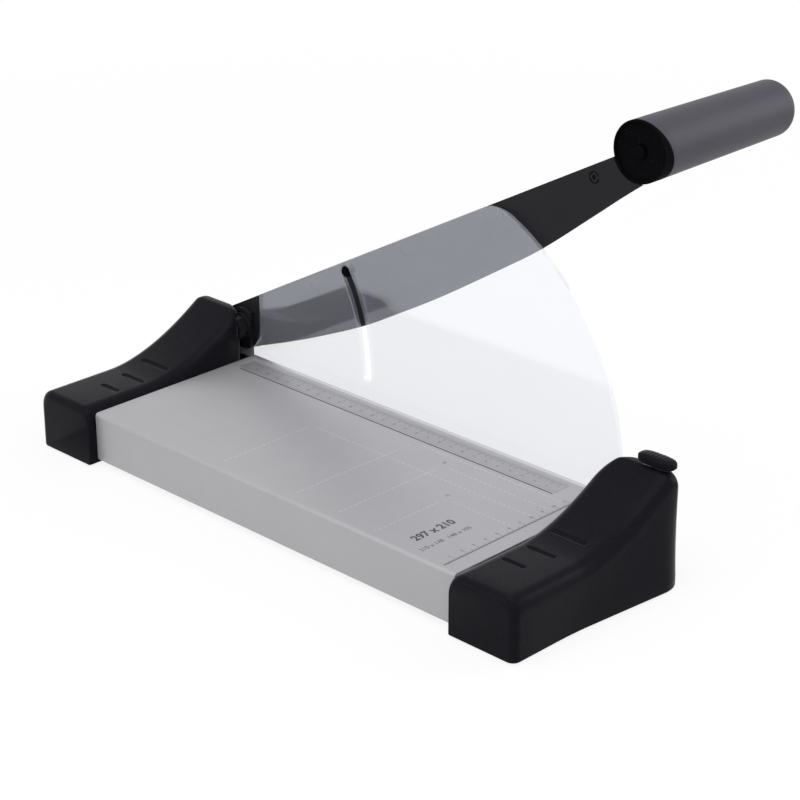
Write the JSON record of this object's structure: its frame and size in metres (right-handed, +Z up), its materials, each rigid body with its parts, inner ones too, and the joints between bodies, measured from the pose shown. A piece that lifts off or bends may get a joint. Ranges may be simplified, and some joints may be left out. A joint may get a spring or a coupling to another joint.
{
  "type": "guillotine paper cutter",
  "caption": "Desk guillotine: a metal table between two moulded end caps, a swinging blade arm with a sideways tube grip, a clear fan guard and a blade lock.",
  "frame": {"origin": "centre of the object's box on the desk, with the arm raised", "axes": "+Y from the handle end to the pivot end, +X towards the cutting edge, +Z up"},
  "size_m": [0.2764, 0.4364, 0.2721],
  "materials": {
    "table_metal": "satin silver lacquer",
    "strip_metal": "satin with printed scale",
    "frame_steel": "zinc plated",
    "bright_steel": "ground",
    "cap_plastic": "fine moulded grain",
    "arm_black": "satin black coating",
    "grip_plastic": "satin grey",
    "core_plastic": "matt black",
    "guard_clear": "clear polished sheet",
    "rubber": "matt",
    "bronze": "sintered bronze",
    "nylon": "satin"
  },
  "bodies": {
    "base": {"table_panel": "table_metal", "scale_strip": "strip_metal", "cutting_rail": "frame_steel", "front_rail": "frame_steel", "cross_rib_1": "frame_steel", "cross_rib_2": "frame_steel", "floor_pan": "frame_steel", "counter_blade": "bright_steel", "counter_blade_screw_1": "bright_steel", "counter_blade_screw_2": "bright_steel", "counter_blade_screw_3": "bright_steel", "near_cap": "cap_plastic", "near_cap_cover": "core_plastic", "near_cap_screw_1": "bright_steel", "near_cap_screw_2": "bright_steel", "near_cap_foot_1": "rubber", "near_cap_foot_2": "rubber", "far_cap": "cap_plastic", "far_cap_cover": "core_plastic", "far_cap_screw_1": "bright_steel", "far_cap_screw_2": "bright_steel", "far_cap_foot_1": "rubber", "far_cap_foot_2": "rubber", "pivot_bracket": "arm_black", "pivot_bracket_screw_1": "bright_steel", "pivot_bracket_screw_2": "bright_steel", "pivot_bolt": "arm_black", "pivot_lock_nut": "arm_black", "pivot_spring_washer": "arm_black", "pivot_washer": "arm_black", "guard": "guard_clear", "guard_bracket": "frame_steel", "guard_bracket_screw_1": "bright_steel", "guard_bracket_screw_2": "bright_steel", "guard_screw": "bright_steel", "lock_guide": "frame_steel", "stop_bracket": "frame_steel", "stop_pad": "rubber"},
    "arm": {"blade": "arm_black", "arm_bar": "arm_black", "hub_block": "arm_black", "pivot_bush": "bronze", "blade_screw_1": "arm_black", "blade_screw_2": "arm_black", "blade_screw_3": "arm_black", "blade_screw_4": "arm_black", "guide_stud": "bright_steel", "guide_roller": "nylon", "grip": "grip_plastic", "grip_core": "core_plastic", "grip_rod": "bright_steel", "grip_boss": "core_plastic"},
    "lock": {"lock_bolt": "frame_steel", "lock_knob": "cap_plastic"}
  },
  "joints": [
    {"name": "arm_swing", "type": "hinge", "parent": "base", "child": "arm", "pos_m": [0.01135, 0.1685, 0.0575], "axis": [1, 0, 0], "range_deg": [0, 32.5]},
    {"name": "blade_lock_slide", "type": "slide", "parent": "base", "child": "lock", "axis": [1, 0, 0], "range_m": [0, 0.006]}
  ]
}
